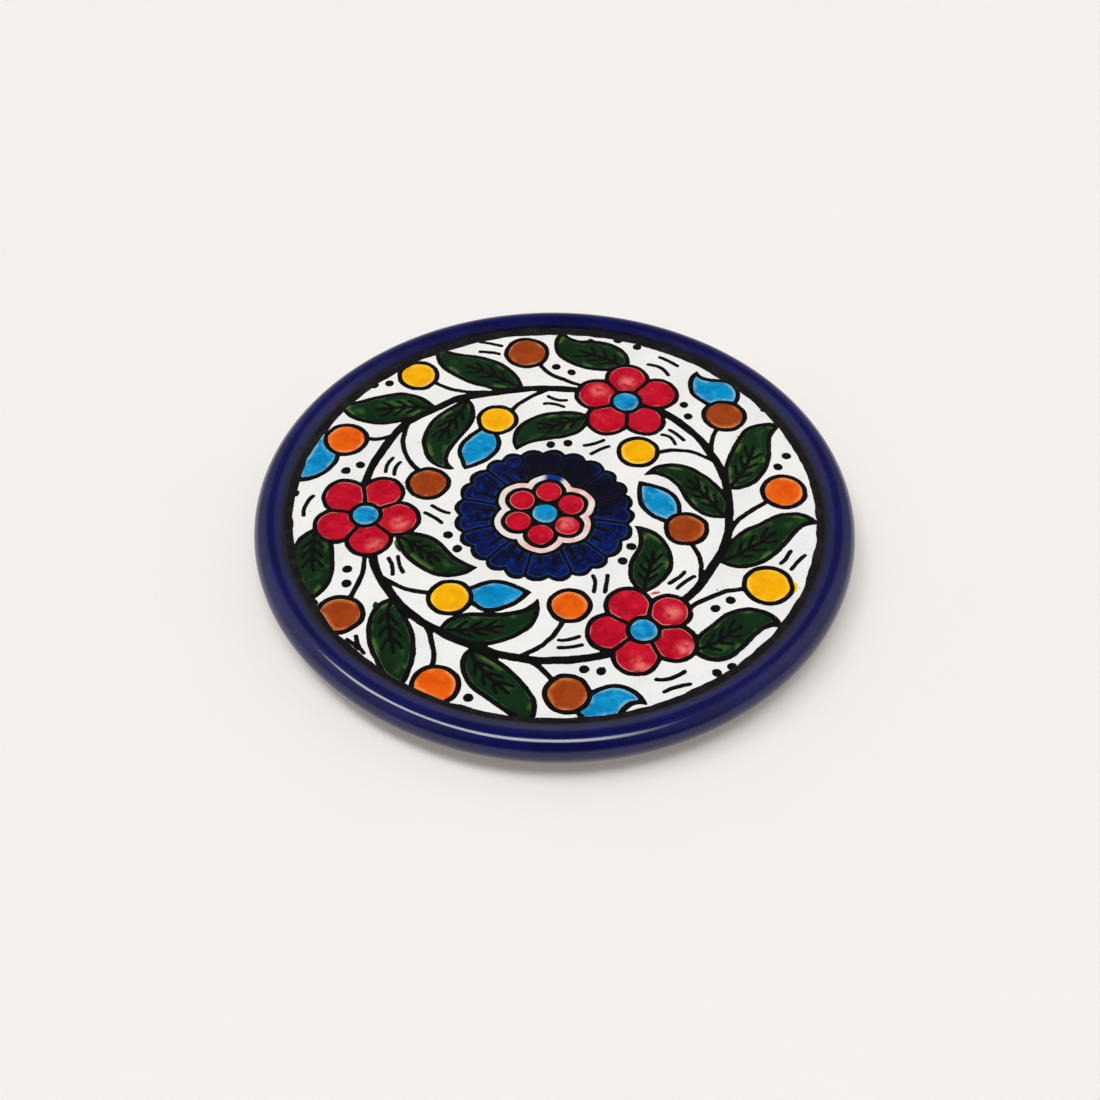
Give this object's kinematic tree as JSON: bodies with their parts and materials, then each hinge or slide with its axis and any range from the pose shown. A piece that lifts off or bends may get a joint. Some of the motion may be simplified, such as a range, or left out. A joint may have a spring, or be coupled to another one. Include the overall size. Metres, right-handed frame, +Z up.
{
  "type": "plate",
  "caption": "Small round ceramic plate on a foot ring: rolled cobalt rim and a flat white face painted with a flower and leaf garland round a blue rosette.",
  "frame": {"origin": "centre of the foot ring's standing face, on the plate's axis", "axes": "+Z up along the axis of turning, +Y away from the viewer, +X to the right of the painting"},
  "size_m": [0.152, 0.152, 0.0123],
  "materials": {
    "clay": "bare fired clay, matt",
    "clear_glaze": "pale clear glaze, glossy",
    "white_glaze": "white glaze, glossy",
    "cobalt_glaze": "deep cobalt glaze, glossy",
    "black_line": "black brush line, satin gloss",
    "red_enamel": "red enamel, glossy and slightly raised",
    "green_enamel": "dark green enamel, glossy",
    "yellow_enamel": "yellow enamel, glossy",
    "orange_enamel": "orange enamel, glossy",
    "brown_enamel": "brown enamel, glossy",
    "blue_enamel": "sky blue enamel, glossy",
    "ring_enamel": "dark cobalt enamel, glossy",
    "band_enamel": "white enamel with a pink blush, glossy"
  },
  "bodies": {
    "root": {"berry_brown_1": "brown_enamel", "berry_brown_2": "brown_enamel", "berry_brown_3": "brown_enamel", "berry_brown_4": "brown_enamel", "berry_brown_5": "brown_enamel", "berry_brown_6": "brown_enamel", "berry_orange_1": "orange_enamel", "berry_orange_2": "orange_enamel", "berry_orange_3": "orange_enamel", "berry_orange_4": "orange_enamel", "berry_yellow_1": "yellow_enamel", "berry_yellow_2": "yellow_enamel", "berry_yellow_3": "yellow_enamel", "berry_yellow_4": "yellow_enamel", "berry_yellow_5": "yellow_enamel", "border_line": "black_line", "bud_1": "blue_enamel", "bud_2": "blue_enamel", "bud_3": "blue_enamel", "bud_4": "blue_enamel", "bud_5": "blue_enamel", "bud_6": "blue_enamel", "clay_body": "clay", "filler_dashes": "black_line", "filler_dots": "black_line", "flower_north_core": "blue_enamel", "flower_north_petals": "red_enamel", "flower_south_core": "blue_enamel", "flower_south_petals": "red_enamel", "flower_west_core": "blue_enamel", "flower_west_petals": "red_enamel", "ground_glaze": "white_glaze", "leaf_01": "green_enamel", "leaf_02": "green_enamel", "leaf_03": "green_enamel", "leaf_04": "green_enamel", "leaf_05": "green_enamel", "leaf_06": "green_enamel", "leaf_07": "green_enamel", "leaf_08": "green_enamel", "leaf_09": "green_enamel", "leaf_10": "green_enamel", "leaf_11": "green_enamel", "leaf_12": "green_enamel", "leaf_13": "green_enamel", "leaf_14": "green_enamel", "leaf_15": "green_enamel", "leaf_veins": "black_line", "line_work": "black_line", "recess_glaze": "clear_glaze", "rim_glaze": "cobalt_glaze", "rosette_band": "band_enamel", "rosette_core": "blue_enamel", "rosette_lines": "black_line", "rosette_petals": "red_enamel", "rosette_ring": "ring_enamel", "rosette_strokes": "black_line", "underside_glaze": "clear_glaze"}
  },
  "joints": []
}
